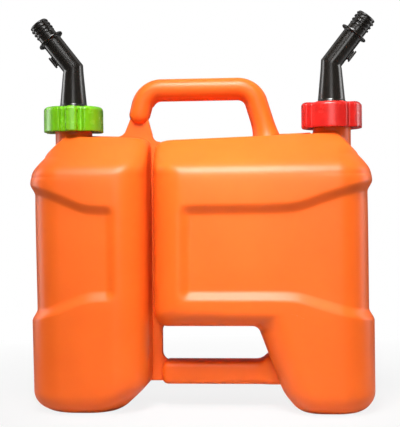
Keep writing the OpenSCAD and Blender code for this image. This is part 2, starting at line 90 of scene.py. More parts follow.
def foot_toe(z):
    """Flare and bottom edge of the foot's flank, added to its slant."""
    return ramp(TOE_Z - z, TOE_RUN, TOE_SOFT) + edge(z, TOE_R)


def foot_flank(z):
    """Flank of the fuel tank's foot: a slant that flares at the toe and rounds at the floor."""
    return FUEL_W - FOOT_W + FOOT_SLANT * (UNDER_Z - z) + foot_toe(z)


def rows(ui, zi, zf, zo, recess, lift):
    """One stretch of sections: flank, heights at flank, front and outer side, waist, lift."""
    return np.array(np.broadcast_arrays(ui, zi, zf, zo, recess, lift), float)


def foot_rows(flank):
    """Sections from the floor to the top of the rounded foot, close together at the floor."""
    z = FOOT_TOP * np.linspace(0, 1, 22) ** 1.5
    return rows(flank(z), z, z, z, 0, 1 - z / FOOT_TOP)


def waist_rows():
    """Lower ledge, waist, upper ledge and bulge: the recess eases in and out over a ledge."""
    t = np.linspace(0, 1, 20)
    s = np.linspace(0, 1, 12)[1:-1]
    low, side = WAIST_LOW - LEDGE_H, WAIST_LOW_SIDE - SIDE_LEDGE_H
    high, high_side = WAIST_HIGH + LEDGE_H, WAIST_HIGH_SIDE + SIDE_LEDGE_H
    z1, z2 = low + LEDGE_H * t, WAIST_LOW + (WAIST_HIGH - WAIST_LOW) * s
    z3, z4 = WAIST_HIGH + LEDGE_H * t, high + (BULGE_Z - high) * s
    return np.hstack([
        rows(0, z1, z1, side + SIDE_LEDGE_H * t, ease(t), 0),
        rows(0, z2, z2, WAIST_LOW_SIDE + (WAIST_HIGH_SIDE - WAIST_LOW_SIDE) * s, 1, 0),
        rows(0, z3, z3, WAIST_HIGH_SIDE + SIDE_LEDGE_H * t, 1 - ease(t), 0),
        rows(0, z4, z4, high_side + (BULGE_Z - high_side) * s, 0, 0)])


def shoulder_rows():
    """Sections of the shoulder up to the flat land, rounded beside the web."""
    t = np.linspace(0, 1, 44)
    z = BULGE_Z + (TANK_H - BULGE_Z) * t
    return rows(edge(TANK_H - z, TOP_R), z, z, z, 0, -ease((t - 0.1) / 0.9))


def oil_rows():
    """Oil tank: slanted toe beside the web, then straight up to the lower ledge."""
    def flank(z):
        return ramp(OIL_TOE_Z - z, OIL_TOE_RUN, OIL_TOE_SOFT) + edge(z, OIL_TOE_R)

    s = np.linspace(0, 1, 12)[1:-1]
    z = FOOT_TOP + (WAIST_LOW - LEDGE_H - FOOT_TOP) * s
    side = FOOT_TOP + (WAIST_LOW_SIDE - SIDE_LEDGE_H - FOOT_TOP) * s
    return np.hstack([foot_rows(flank), rows(flank(z), z, z, side, 0, 0), waist_rows(),
                      shoulder_rows()])


def fuel_rows():
    """Fuel tank: its flank climbs the foot, turns through the armpit, runs along the
    underside and turns up beside the web, while front and outer side keep rising."""
    def side(k):
        return FOOT_TOP + FOOT_RISE * k / FOOT_STEPS

    def front(k):
        return EDGE_Z + (WAIST_LOW - LEDGE_H - EDGE_Z) * (k - 6) / 8

    slant = np.arctan(FOOT_SLANT)
    pit_u = FUEL_W - FOOT_W + FOOT_SLANT * ARMPIT_R - ARMPIT_R / np.cos(slant)
    climb = np.linspace(0, 1, 12)[1:-1]
    z = FOOT_TOP + (UNDER_Z - ARMPIT_R - FOOT_TOP) * climb
    t = np.linspace(0, 1, 18)
    a = slant + (np.pi / 2 - slant) * t
    pit_z = UNDER_Z - ARMPIT_R + ARMPIT_R * np.sin(a)
    under = np.linspace(0, 1, 14)[1:-1]
    b = np.pi / 2 * t
    rise = np.linspace(0, 1, 5)[1:-1]
    turn_z = UNDER_Z + UNDER_R
    low, low_side = WAIST_LOW - LEDGE_H, WAIST_LOW_SIDE - SIDE_LEDGE_H
    return np.hstack([
        foot_rows(foot_flank),
        rows(foot_flank(z), z, z, side(3 * climb), 0, 0),
        rows(pit_u + ARMPIT_R * np.cos(a), pit_z, pit_z + (EDGE_Z - pit_z) * t,
             side(3 + 3 * t), 0, t),
        rows(pit_u + (UNDER_R - pit_u) * under, UNDER_Z, front(6 + 3 * under),
             side(6 + 3 * under), 0, 1),
        rows(UNDER_R * (1 - np.sin(b)), turn_z - UNDER_R * np.cos(b), front(9 + 4 * t),
             side(9 + 4 * t), 0, 1 - t),
        rows(0, turn_z + (low - turn_z) * rise, front(13 + rise),
             side(13) + (low_side - side(13)) * rise, 0, 0),
        waist_rows(), shoulder_rows()])


def land(u, z, w, neck_u, wall):
    """Top of the tank: the land rises to the neck and is cut by the outer chamfer."""
    rise = TOP_RISE * (u - neck_u) * ease((z - SLOPE_Z) / (TANK_H - SLOPE_Z))
    return lower(z + rise, CHAMFER_Z + (w - u - wall) / CHAMFER_RUN - wall, 1.5)


def half_ring(stack, w, lean, neck_u, knee, wall):
    """Half of each section: flank corner, front with the waist cut, outer corner, seam.
    A corner is a quarter circle. From a soft knee outwards the ledges slant down or up."""
    ui, zi, zf, zo, recess, lift = stack[:, :, None]
    top = np.clip((zf - BULGE_Z) / (TANK_H - BULGE_Z), 0, 1)
    stop = neck_u + NECK_R + 2.5 + 6 * (1 - top)
    uo = outer_side(zo, w, lean)
    uo = np.where(top > 0, np.maximum(uo, stop), uo)
    share = np.minimum(1, (uo - ui - FOOT_FLAT) / (CORNER_R + OUTER_R))
    ri = (CORNER_R - (CORNER_R - LAND_R) * top) * share - wall
    ro = (OUTER_R - (OUTER_R - LAND_R) * top) * share - wall
    hd = half_depth(np.where(zi < FOOT_TOP, zi, zf)) - wall
    ui, uo = ui + wall, uo - wall
    zi, zf, zo = zi + lift * wall, zf + lift * wall, zo + lift * wall
    cut = WAIST_DEPTH * recess
    run = np.minimum(knee, uo - ui - ri)
    bend = KNEE_SOFT * ease((zf - UNDER_Z) / (WAIST_LOW - LEDGE_H - UNDER_Z))

    def slant(u):
        t = ramp((u - uo) / run + 1, 1, bend) - ramp((ui + ri - uo) / run + 1, 1, bend)
        return zf + (zo - zf) * t * (1.5 - 0.5 * t)

    def recessed(u):
        return cut * ease((u - WAIST_START) / WAIST_FADE)

    a = np.linspace(0, np.pi / 2, 22)[None]
    f = np.linspace(0, 1, 54)[None, 1:-1] ** 1.08
    full = np.zeros((stack.shape[1], 1))
    u1 = ui + ri * (1 - np.cos(a))
    u2 = ui + ri + (uo - ui - ri - ro) * f
    u3 = uo - ro * (1 - np.sin(a))
    seam = np.hstack([full + uo, full + uo])
    u = np.hstack([u1, u2, u3, seam])
    y = np.hstack([hd - ri * (1 - np.sin(a)) - recessed(u1), hd - recessed(u2),
                   hd - ro * (1 - np.cos(a)) - cut * np.cos(a),
                   full + 2.4 * SEAM_W, full + SEAM_W])
    z = np.hstack([zi + (zf - zi) * (1 - np.cos(a)), slant(u2), slant(u3), slant(seam)])
    z = land(u, z, w, neck_u, wall)
    ridge = SEAM_H * (wall == 0)
    u = u - np.hstack([0 * u1, 0 * u2, cut * np.sin(a), full + cut, full + cut - ridge])
    return np.stack([u, y, z], 2)


def whole(half):
    """A closed ring from its half: the front from flank to outer side, then the back."""
    return np.concatenate([half * [1, -1, 1], half[:, ::-1]], 1)


def neck_rings(last, w, neck_u):
    """From the land's edge in to the neck, with a fillet at its foot, up to the collar,
    over its rim and down the bore. Every point keeps its bearing about the neck."""
    bearing = np.arctan2(last[:, 1], last[:, 0] - neck_u)
    reach = np.hypot(last[:, 0] - neck_u, last[:, 1])
    s = 1 - (1 - np.linspace(0, 1, 26)[1:, None]) ** 2
    radius = reach * (1 - s) + NECK_R * s
    u = neck_u + radius * np.cos(bearing)
    y = radius * np.sin(bearing)
    foot = land(u, TANK_H + 0 * u, w, neck_u, 0)
    z = foot + edge(radius - NECK_R, NECK_FILLET)
    skirt = np.stack([u, y, z], 2)
    t = np.linspace(0, 1, 10)[1:, None]
    column = np.stack([u[-1:] + 0 * t, y[-1:] + 0 * t, z[-1:] * (1 - t) + COLLAR_Z * t], 2)
    bu, by = neck_u + NECK_BORE_R * np.cos(bearing), NECK_BORE_R * np.sin(bearing)
    depth = land(bu, TANK_H - WALL + 0 * bu, w, neck_u, WALL)
    bore = np.stack([np.stack([bu, by, 0 * bu + COLLAR_Z], 1), np.stack([bu, by, depth], 1)])
    return np.concatenate([skirt, column, bore])


def skin(name, rings, inside_out=False, caps=True):
    """A mesh from closed rings, one quad for each step, in metres. Caps close both ends."""
    n, m = rings.shape[:2]
    k, i = np.meshgrid(np.arange(n - 1), np.arange(m), indexing="ij")
    a, b = k * m + i, k * m + (i + 1) % m
    quads = np.stack([a, b, b + m, a + m], 2).reshape(-1, 4)
    ends = [np.arange(m)[::-1], np.arange(m) + (n - 1) * m] if caps else []
    faces = [f[::-1].tolist() if inside_out else f.tolist() for f in [*quads, *ends]]
    mesh = bpy.data.meshes.new(name)
    mesh.from_pydata((rings.reshape(-1, 3) * 0.001).tolist(), [], faces)
    mesh.polygons.foreach_set("use_smooth", np.ones(len(faces), bool))
    mesh.update()
    piece = bpy.data.objects.new(name, mesh)
    bpy.context.scene.collection.objects.link(piece)
    return piece


def tank(name, stack, w, lean, neck_u, knee, place):
    """Outer skin, neck and inner skin of one tank, placed outwards from its flank."""
    outside = whole(half_ring(stack, w, lean, neck_u, knee, 0))
    inside = whole(half_ring(stack[:, ::-4], w, lean, neck_u, knee, WALL))
    rings = np.concatenate([outside, neck_rings(outside[-1], w, neck_u), inside])
    rings = rings * [place[1], 1, 1] + [place[0], 0, 0]
    return skin(name, rings, inside_out=place[1] < 0)


def satin_polyethylene():
    """Blow-moulded polyethylene: orange, satin, with a fine mould grain and soft depth."""
    mat = bpy.data.materials.new("satin_polyethylene")
    mat.use_nodes = True
    nodes, links = mat.node_tree.nodes, mat.node_tree.links
    shader = nodes["Principled BSDF"]
    shader.inputs["IOR"].default_value = 1.5
    shader.inputs["Specular IOR Level"].default_value = 0.28
    shader.inputs["Subsurface Weight"].default_value = 0.05
    shader.inputs["Subsurface Radius"].default_value = (1.0, 0.25, 0.06)
    shader.inputs["Subsurface Scale"].default_value = 0.006
    place = nodes.new("ShaderNodeTexCoord")

    cloud = nodes.new("ShaderNodeTexNoise")
    cloud.inputs["Scale"].default_value = 14
    cloud.inputs["Detail"].default_value = 3
    links.new(place.outputs["Object"], cloud.inputs["Vector"])
    tint = nodes.new("ShaderNodeValToRGB")
    tint.color_ramp.elements[0].position = 0.3
    tint.color_ramp.elements[0].color = (0.82, 0.122, 0.011, 1)
    tint.color_ramp.elements[1].position = 0.7
    tint.color_ramp.elements[1].color = (0.87, 0.138, 0.014, 1)
    links.new(cloud.outputs["Fac"], tint.inputs["Fac"])
    links.new(tint.outputs["Color"], shader.inputs["Base Color"])

    grain = nodes.new("ShaderNodeTexNoise")
    grain.inputs["Scale"].default_value = 900
    grain.inputs["Detail"].default_value = 2
    links.new(place.outputs["Object"], grain.inputs["Vector"])
    gloss = nodes.new("ShaderNodeMapRange")
    gloss.inputs["To Min"].default_value = 0.34
    gloss.inputs["To Max"].default_value = 0.44
    links.new(grain.outputs["Fac"], gloss.inputs["Value"])
    links.new(gloss.outputs["Result"], shader.inputs["Roughness"])
    bump = nodes.new("ShaderNodeBump")
    bump.inputs["Strength"].default_value = 0.1
    bump.inputs["Distance"].default_value = 0.0003
    links.new(grain.outputs["Fac"], bump.inputs["Height"])
    links.new(bump.outputs["Normal"], shader.inputs["Normal"])
    return mat


def moulded(piece, *nodes):
    """Gives a piece of the moulding its plastic and puts it in the place of its CAD nodes."""
    piece.data.materials.append(orange)
    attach(piece, "canister")
    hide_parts(*nodes)


orange = satin_polyethylene()
oil_tank = tank("oil_tank_wall", oil_rows(), OIL_W, OIL_LEAN, NECK_X + OIL_IN, OIL_KNEE,
                (OIL_IN, -1))
fuel_tank = tank("fuel_tank_wall", fuel_rows(), FUEL_W, FUEL_LEAN, NECK_X - FUEL_IN, FUEL_KNEE,
                 (FUEL_IN, 1))
moulded(oil_tank, "oil_tank")
moulded(fuel_tank, "fuel_tank")

# Threaded necks
# The finish of each tank's mouth, blown with the tank. A right-hand thread of coarse pitch
# runs round it from the collar to the sealing rim, and the union nut screws down on it.
PITCH, THREAD_H, THREAD_Z, NECK_SIDES = 4.0, 1.4, 299.0, 144


def thread(bearing, z, start, end, width):
    """Height share of a helical ridge: a soft trapezoid about each turn, faded at both ends.
    The phase is z over the pitch less the bearing over a full turn."""
    phase = z / PITCH - bearing / (2 * np.pi)
    away = np.abs(phase - np.round(phase))
    return ease((width - away) / 0.13) * ease((z - start) / 1.5) * ease((end - z) / 1.5)


def neck(name, x, node):
    """Outer wall with its thread, rounded rim, bore: a profile turned about the axis."""
    bearing = np.linspace(0, 2 * np.pi, NECK_SIDES, endpoint=False)[None]
    z = np.linspace(COLLAR_Z, RIM_Z - 0.8, 110)[:, None]
    r = NECK_R + THREAD_H * thread(bearing, z, THREAD_Z + 1, RIM_Z - 1, 0.24)
    a = np.radians(np.array([[30], [60], [90]]))
    rim_r, rim_z = NECK_R - 0.8 + 0.8 * np.cos(a), RIM_Z - 0.8 + 0.8 * np.sin(a)
    bore_r = np.array([[NECK_BORE_R + 0.6], [NECK_BORE_R], [NECK_BORE_R]])
    bore_z = np.array([[RIM_Z], [RIM_Z - 0.6], [COLLAR_Z]])
    r = np.vstack([r, rim_r + 0 * bearing, bore_r + 0 * bearing, NECK_R + 0 * bearing])
    z = np.vstack([z, rim_z, bore_z, [[COLLAR_Z]]]) + 0 * bearing
    piece = skin(name, np.stack([x + r * np.cos(bearing), r * np.sin(bearing), z], 2), caps=False)
    moulded(piece, node)


neck("oil_neck_thread", -NECK_X, "oil_neck")
neck("fuel_neck_thread", NECK_X, "fuel_neck")

# Centre web
# The flat plate that the mould pinches between the tanks, on the parting plane. It carries
# the handle's blind end, frames the lower opening, and runs on as a fin on the oil tank.
WEB_T, WEB_EDGE, BAR_LEFT, BAR_Z, BAR_H, OPENING_R, CORNER = 6.0, 1.6, -43.8, 24.5, 25.0, 8.0, 10.0
BLIND, HANDLE_R = np.array([-66.89, 313.13]), 11.0


def arc(x, z, r, start, end, steps=14):
    """Points of a circular arc in the parting plane, from one bearing to another."""
    a = np.radians(np.linspace(start, end, steps))
    return np.stack([x + r * np.cos(a), z + r * np.sin(a)], 1)


def web():
    """Outline of the plate: oil flank, fin, leg under the handle's end, top opening's
    corner, fuel flank, lower opening's corners and strip. It reaches a little into each tank.
    A second outline is the fin between the handle's foot and the fuel neck."""
    sink = 3.0
    outline = np.concatenate([
        [[BAR_LEFT + 6, BAR_Z + 2.5], [OIL_IN - 6, BAR_Z + 2.5], [OIL_IN - sink, BAR_Z + 10],
         [OIL_IN - sink, 275.5], [OIL_IN - 14, 283.5], [-120.3, 286.5]],
        arc(-119, 289.5, 1.3, 180, 90, 5), arc(-90.4, 299, 9, 269, 343),
        arc(*BLIND, HANDLE_R - sink, 180, 0), [[-57, 306]],
        arc(-45.1, 291.7, 8, 180, 270), [[-39.5, 281], [FUEL_IN + sink, 273],
        [FUEL_IN + sink, 106], [FUEL_IN + UNDER_R, 93]],
        arc(BAR_LEFT + OPENING_R, UNDER_Z - OPENING_R, OPENING_R, 90, 180),
        arc(BAR_LEFT + CORNER, BAR_Z + BAR_H + CORNER - 1, CORNER, 180, 270),
        [[BAR_LEFT + CORNER, BAR_Z + 6]]])
    fin = np.concatenate([[[74, 284], [74, 289.8]], arc(115.7, 289.6, 1.3, 90, 0, 5), [[117, 284]]])
    n, m = len(outline), len(fin)
    points = np.insert(np.concatenate([outline, fin]), 1, 0, axis=1) * 0.001
    mesh = bpy.data.meshes.new("pinched_web")
    mesh.from_pydata(points.tolist(), [], [list(range(n)), list(range(n + m - 1, n - 1, -1))])
    piece = bpy.data.objects.new("pinched_web", mesh)
    bpy.context.scene.collection.objects.link(piece)
    plate = piece.modifiers.new("plate", "SOLIDIFY")
    plate.thickness = WEB_T * 0.001
    plate.offset = 0
    rim = piece.modifiers.new("rim", "BEVEL")
    rim.width = WEB_EDGE * 0.001
    rim.segments = 3
    rim.limit_method = "ANGLE"
    rim.angle_limit = np.radians(50)
    rim.harden_normals = True
    return piece


moulded(web(), "centre_web")

# Carry handle
# A hollow bent tube, blown with the tanks: blind and rounded at its left end, where it lies
# on the web, and open to the fuel tank at its right foot, which flares into the tank's top.
HANDLE_Z, BEND_R, LEFT_BEND, RIGHT_BEND = 340.0, 22.0, -43.0, 39.0
LEFT_LEAN, RIGHT_LEAN, HANDLE_FLARE, HANDLE_SIDES = np.radians(14), np.radians(17), 4.0, 64
FLANGE_H, FLANGE_W = 2.2, 1.1


def handle():
    """A tube carried along a path in the parting plane: dome, left leg, bend, grip, bend,
    right leg with a flare that grows as the fifth power, cut on the tank's land."""
    up = np.pi / 2 - LEFT_LEAN
    dome = np.radians(np.linspace(2, 88, 14))
    dome_way = np.array([np.cos(up), np.sin(up)])
    left = np.linspace(np.pi - LEFT_LEAN, np.pi / 2, 22)
    right = np.linspace(np.pi / 2, RIGHT_LEAN, 22)
    grip = np.linspace(LEFT_BEND, RIGHT_BEND, 24)[1:-1]
    hub_z = HANDLE_Z - BEND_R
    foot = np.array([RIGHT_BEND + BEND_R * np.cos(RIGHT_LEAN), hub_z + BEND_R * np.sin(RIGHT_LEAN)])
    leg = np.linspace(0, 1, 26)[1:]
    leg_l = (foot[1] - 285.5) / np.cos(RIGHT_LEAN)
    path = np.concatenate([
        BLIND - HANDLE_R * np.cos(dome)[:, None] * dome_way,
        np.stack([LEFT_BEND + BEND_R * np.cos(left), hub_z + BEND_R * np.sin(left)], 1),
        np.stack([grip, HANDLE_Z + 0 * grip], 1),
        np.stack([RIGHT_BEND + BEND_R * np.cos(right), hub_z + BEND_R * np.sin(right)], 1),
        foot + leg_l * leg[:, None] * [np.sin(RIGHT_LEAN), -np.cos(RIGHT_LEAN)]])
    way = np.concatenate([up + 0 * dome, left - np.pi / 2, 0 * grip, right - np.pi / 2,
                          RIGHT_LEAN - np.pi / 2 + 0 * leg])
    bent = len(left) + len(grip) + len(right)
    radius = np.concatenate([HANDLE_R * np.sin(dome), np.full(bent + len(leg), HANDLE_R)])
    flare = np.concatenate([0 * dome, np.zeros(bent), HANDLE_FLARE * leg ** 5])
    turn = np.linspace(0, 2 * np.pi, HANDLE_SIDES, endpoint=False)[None]
    turn = turn - 0.55 * np.sin(2 * turn)
    inner = FLANGE_H * np.exp(-(HANDLE_R * (turn - 1.5 * np.pi) / FLANGE_W) ** 2)
    on = ease((np.arange(len(path)) - 10) / 8)[:, None]
    fillet = flare[:, None] * (1 - 0.6 * np.sin(turn))
    r = radius[:, None] + fillet + inner * on * (radius > 6)[:, None]
    across = r * np.sin(turn)
    x = path[:, :1] - np.sin(way)[:, None] * across
    z = path[:, 1:] + np.cos(way)[:, None] * across
    low = TANK_H + TOP_RISE * (x - NECK_X) - 1.0
    z = np.maximum(z, low)
    return skin("handle_tube", np.stack([x, r * np.cos(turn), z], 2), inside_out=True)


moulded(handle(), "carry_handle")

# Lower grip bar
# A hollow bar at the foot of the web, which closes the lower opening and lets the other hand
# tip the canister. It grows out of the foot's flank and ends rounded at the web's strip.
BAR_D, BAR_EDGE, BAR_REACH, BAR_SIDES, BAR_POWER = 38.0, 7.0, 130.0, 96, 4.5


def grip_bar():
    """A rounded rectangle carried along x. Its left end is a quarter round, and at the right
    it is cut on the foot's flank, a little inside, with a fillet that rises before it."""
    a = np.linspace(0, 2 * np.pi, BAR_SIDES, endpoint=False)
    cy = np.sign(np.cos(a)) * np.abs(np.cos(a)) ** (2 / BAR_POWER)
    cz = np.sign(np.sin(a)) * np.abs(np.sin(a)) ** (2 / BAR_POWER)
    end = np.radians(np.linspace(1, 90, 14))
    s = np.linspace(0, 1, 40)[1:]
    x = np.concatenate([BAR_EDGE * (1 - np.cos(end)), BAR_EDGE + (BAR_REACH - BAR_EDGE) * s])
    back = np.concatenate([BAR_EDGE * (1 - np.sin(end)), 0 * s])
    flare = np.concatenate([0 * end, 9 * ease((s - 0.74) / 0.16) ** 2])[:, None]
    y = (BAR_D / 2 - back)[:, None] * cy + flare * cy / 2
    z = BAR_Z + BAR_H / 2 + (BAR_H / 2 - back)[:, None] * cz + flare * np.maximum(cz, 0)
    flank = FUEL_IN + foot_flank(z) + 3.0
    x = np.minimum(BAR_LEFT + x[:, None] + 0 * y, flank)
    return skin("lower_grip_bar", np.stack([x, y, z], 2), inside_out=False)


moulded(grip_bar(), "lower_bar")

# Gaskets
# Flat rings cut from dark nitrile rubber. Each lies on its neck's rim, under the spout's
# flange, and rises with them when the nut is unscrewed.


def nitrile_rubber():
    """Dull dark rubber with a fine mottle and a dusty bloom in its roughness."""
    mat = bpy.data.materials.new("nitrile_rubber")
    mat.use_nodes = True
    nodes, links = mat.node_tree.nodes, mat.node_tree.links
    shader = nodes["Principled BSDF"]
    place = nodes.new("ShaderNodeTexCoord")
    mottle = nodes.new("ShaderNodeTexNoise")
    mottle.inputs["Scale"].default_value = 600
    mottle.inputs["Detail"].default_value = 3
    links.new(place.outputs["Object"], mottle.inputs["Vector"])
    shade = nodes.new("ShaderNodeValToRGB")
    shade.color_ramp.elements[0].color = (0.012, 0.012, 0.013, 1)
    shade.color_ramp.elements[1].color = (0.035, 0.035, 0.036, 1)
    links.new(mottle.outputs["Fac"], shade.inputs["Fac"])
    links.new(shade.outputs["Color"], shader.inputs["Base Color"])
    bloom = nodes.new("ShaderNodeMapRange")
    bloom.inputs["To Min"].default_value = 0.7
    bloom.inputs["To Max"].default_value = 0.9
    links.new(mottle.outputs["Fac"], bloom.inputs["Value"])
    links.new(bloom.outputs["Result"], shader.inputs["Roughness"])
    return mat


rubber = nitrile_rubber()
for ring in (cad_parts["oil_gasket"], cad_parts["fuel_gasket"]):
    ring.data.materials.clear()
    ring.data.materials.append(rubber)

# Pouring spouts
# Injection moulded in black polyethylene, hollow from end to end. The flange is clamped
# under the nut; a cone, a knee and a leaning tube lead to the screwed tip behind its stop ring.
GASKET_Z, FLANGE_Z, CONE_Z, KNEE_Z, KNEE_SPREAD = 316.0, 319.0, 324.0, 364.5, 6.0
LEAN, TUBE_R, CONE_R, SPOUT_COLLAR_R, CLAMP_R = np.radians(38), 10.7, 14.5, 15.5, 19.5
STOP_L, STOP_R, TIP_L, TIP_R, TIP_BORE_R, BORE_R = 39.4, 14.9, 62.3, 9.8, 7.8, 8.3
TIP_PLAIN, TIP_PITCH, TIP_CREST, LUG_L, SPOUT_SIDES = 7.5, 4.4, 1.3, 18.8, 96


def along_spout(w, across):
    """Points of rings along the spout, up the axis to the knee and then along the lean. The
    rings near the knee tilt step by step into its mitre plane, so that they never cross."""
    past = w > KNEE_Z
    turned = np.where(past, LEAN, 0)
    tilt = LEAN / 2 * np.clip(1 - np.abs(w - KNEE_Z) / KNEE_SPREAD, 0, 1)
    on = np.where(past, w - KNEE_Z, 0)
    shift = across * np.tan(tilt) * np.where(past, 1, -1)
    x = on * np.sin(LEAN) + np.cos(turned) * across + np.sin(turned) * shift
    z = np.minimum(w, KNEE_Z) + on * np.cos(LEAN) - np.sin(turned) * across + np.cos(turned) * shift
    return x, z


def spout(name, side, body, node):
    """A radius carried along the spout: flange, collar, cone, tube, stop ring, plain and
    screwed tip, then back through the bore. The tip's ridge is a helix of soft trapezoids."""
    stop, tip = KNEE_Z + STOP_L, KNEE_Z + TIP_L
    foot = np.array([
        [GASKET_Z, CLAMP_R - 0.4], [GASKET_Z + 0.4, CLAMP_R], [FLANGE_Z - 0.4, CLAMP_R],
        [FLANGE_Z, CLAMP_R - 0.4], [FLANGE_Z, SPOUT_COLLAR_R + 0.3], [FLANGE_Z + 0.3, SPOUT_COLLAR_R],
        [CONE_Z - 0.5, SPOUT_COLLAR_R], [CONE_Z, SPOUT_COLLAR_R - 0.3], [CONE_Z + 0.4, CONE_R]])
    cone = np.linspace(CONE_Z + 0.4, KNEE_Z, 24)[1:]
    tube = np.linspace(KNEE_Z, stop - 2.2, 24)[1:]
    ring = np.array([
        [-1.2, TUBE_R], [-0.9, TUBE_R + 0.4], [-0.9, STOP_R - 0.3], [-0.6, STOP_R], [0.6, STOP_R],
        [0.9, STOP_R - 0.3], [0.9, TIP_R + 1.0], [1.2, TIP_R + 0.6], [1.8, TIP_R + 0.4]])
    screw = np.linspace(stop + 2.4, tip - 0.6, 110)
    mouth = np.array([[tip, TIP_R - 0.2], [tip, TIP_BORE_R + 0.5], [tip - 0.8, TIP_BORE_R],
                      [stop + 1, TIP_BORE_R], [stop - 1, BORE_R]])
    bore = np.linspace(KNEE_Z + 10, KNEE_Z - 10, 13)
    low = np.array([[CONE_Z + 2, 12.6], [GASKET_Z, 12.8], [GASKET_Z, CLAMP_R - 0.4]])
    w = np.concatenate([foot[:, 0], cone, tube, stop + ring[:, 0], screw, mouth[:, 0], bore, low[:, 0]])
    taper = CONE_R + (TUBE_R - CONE_R) * (cone - CONE_Z) / (KNEE_Z - CONE_Z)
    r = np.concatenate([foot[:, 1], taper, 0 * tube + TUBE_R, ring[:, 1], 0 * screw + TIP_R + 0.4,
                        mouth[:, 1], 0 * bore + BORE_R, low[:, 1]])
    bearing = np.linspace(0, 2 * np.pi, SPOUT_SIDES, endpoint=False)[None]
    phase = screw[:, None] / TIP_PITCH - bearing / (2 * np.pi)
    away = np.abs(phase - np.round(phase))
    fade = ease((screw - stop - TIP_PLAIN) / 1.2) * ease((tip - 1.0 - screw) / 1.2)
    r = r[:, None] + 0 * bearing
    first = len(foot) + len(cone) + len(tube) + len(ring)
    r[first:first + len(screw)] += fade[:, None] * (TIP_CREST * ease((0.32 - away) / 0.16) - 0.4)
    x, z = along_spout(w[:, None], r * np.cos(bearing))
    rings = np.stack([side * (NECK_X + x), r * np.sin(bearing), z], 2)
    piece = skin(name, rings, inside_out=side < 0, caps=False)
    piece.data.materials.append(black)
    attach(piece, body)
    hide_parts(node)


def black_polyethylene():
    """Black injection-moulded plastic with a brownish cast, satin, with a faint grain."""
    mat = bpy.data.materials.new("black_polyethylene")
    mat.use_nodes = True
    nodes, links = mat.node_tree.nodes, mat.node_tree.links
    shader = nodes["Principled BSDF"]
    shader.inputs["Specular IOR Level"].default_value = 0.7
    place = nodes.new("ShaderNodeTexCoord")
    flow = nodes.new("ShaderNodeTexNoise")
    flow.inputs["Scale"].default_value = 260
    flow.inputs["Detail"].default_value = 4
    links.new(place.outputs["Object"], flow.inputs["Vector"])
    shade = nodes.new("ShaderNodeValToRGB")
    shade.color_ramp.elements[0].color = (0.006, 0.0045, 0.0035, 1)
    shade.color_ramp.elements[1].color = (0.016, 0.013, 0.010, 1)
    links.new(flow.outputs["Fac"], shade.inputs["Fac"])
    links.new(shade.outputs["Color"], shader.inputs["Base Color"])
    gloss = nodes.new("ShaderNodeMapRange")
    gloss.inputs["To Min"].default_value = 0.19
    gloss.inputs["To Max"].default_value = 0.23
    links.new(flow.outputs["Fac"], gloss.inputs["Value"])
    links.new(gloss.outputs["Result"], shader.inputs["Roughness"])
    bump = nodes.new("ShaderNodeBump")
    bump.inputs["Strength"].default_value = 0.015
    bump.inputs["Distance"].default_value = 0.0003
    links.new(flow.outputs["Fac"], bump.inputs["Height"])
    links.new(bump.outputs["Normal"], shader.inputs["Normal"])
    return mat


def cap_lug(name, side, body, node):
    """T-shaped lug for the cap's strap, on the tube's lower side: rounded rectangles stacked
    outwards from the tube, a filleted stub and then the wider plate."""
    r = np.array([9.6, 11.1, 11.6, 12.4, 12.5, 12.7, 14.1, 14.3])
    half_l = np.array([6.4, 5.8, 5.4, 5.3, 6.5, 6.7, 6.7, 6.5])
    half_w = np.array([3.4, 3.0, 2.8, 2.8, 2.9, 3.0, 3.0, 2.8])
    a = np.linspace(0, 2 * np.pi, 48, endpoint=False)
    across = np.sign(np.sin(a)) * np.abs(np.sin(a)) ** 0.35
    along = np.sign(np.cos(a)) * np.abs(np.cos(a)) ** 0.35
    l = LUG_L + half_l[:, None] * along
    x = NECK_X + l * np.sin(LEAN) + r[:, None] * np.cos(LEAN)
    z = KNEE_Z + l * np.cos(LEAN) - r[:, None] * np.sin(LEAN)
    rings = np.stack([side * x, half_w[:, None] * across, z], 2)
    piece = skin(name, rings, inside_out=side < 0)
    piece.data.materials.append(black)
    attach(piece, body)
    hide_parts(node)


black = black_polyethylene()
spout("oil_spout_tube", -1, "oil_pourer", "oil_spout")
spout("fuel_spout_tube", 1, "fuel_pourer", "fuel_spout")
cap_lug("oil_spout_lug", -1, "oil_pourer", "oil_spout")
cap_lug("fuel_spout_lug", 1, "fuel_pourer", "fuel_spout")

# Union nuts
# Injection moulded, green for oil and red for fuel. A lip holds the spout's flange down, a
# skirt with a thread screws on the neck, and wide grips and narrow wings take the fingers.
NUT_Z, NUT_H, NUT_LIP, GROOVE_R, GRIP_R, WING_R, WING_HALF = 295.0, 27.0, 3.0, 26.5, 32.0, 34.0, 6.25
GRIP_HALF, NUT_EDGE, LIP_R, NUT_BORE_R, NUT_SIDES = np.radians(36), 4.0, 15.8, 21.9, 1080


def nut_depth(r, bearing):
    """Depth inside the nut's outline, a soft union of a round core, wide grips bounded by an
    arc and two radial sides, and narrow wings bounded by an end and two parallel sides."""
    def inner(a, b):
        return lower(a, b, 2.2)

    third = 2 * np.pi / 3
    a = np.abs(bearing - third * np.round(bearing / third))
    grip = inner(GRIP_R - r, (GRIP_HALF - a) * r)
    b = np.abs(bearing - third / 2 - third * np.round((bearing - third / 2) / third))
    wing = inner(WING_R - r * np.cos(b), WING_HALF - r * np.sin(b))
    core = GROOVE_R - r
    return -lower(lower(-grip, -wing, 0.5), -core, 1.6)


def nut_radius(bearing, back):
    """Radius at which the outline lies a distance inside its edge, by halving."""
    low, high = np.broadcast_arrays(LIP_R + 2.0, WING_R + 2.0 + 0 * bearing * back)
    low = low + 0 * high
    for _ in range(36):
        mid = (low + high) / 2
        inside = nut_depth(mid, bearing) > back
        low, high = np.where(inside, mid, low), np.where(inside, high, mid)
    return (low + high) / 2


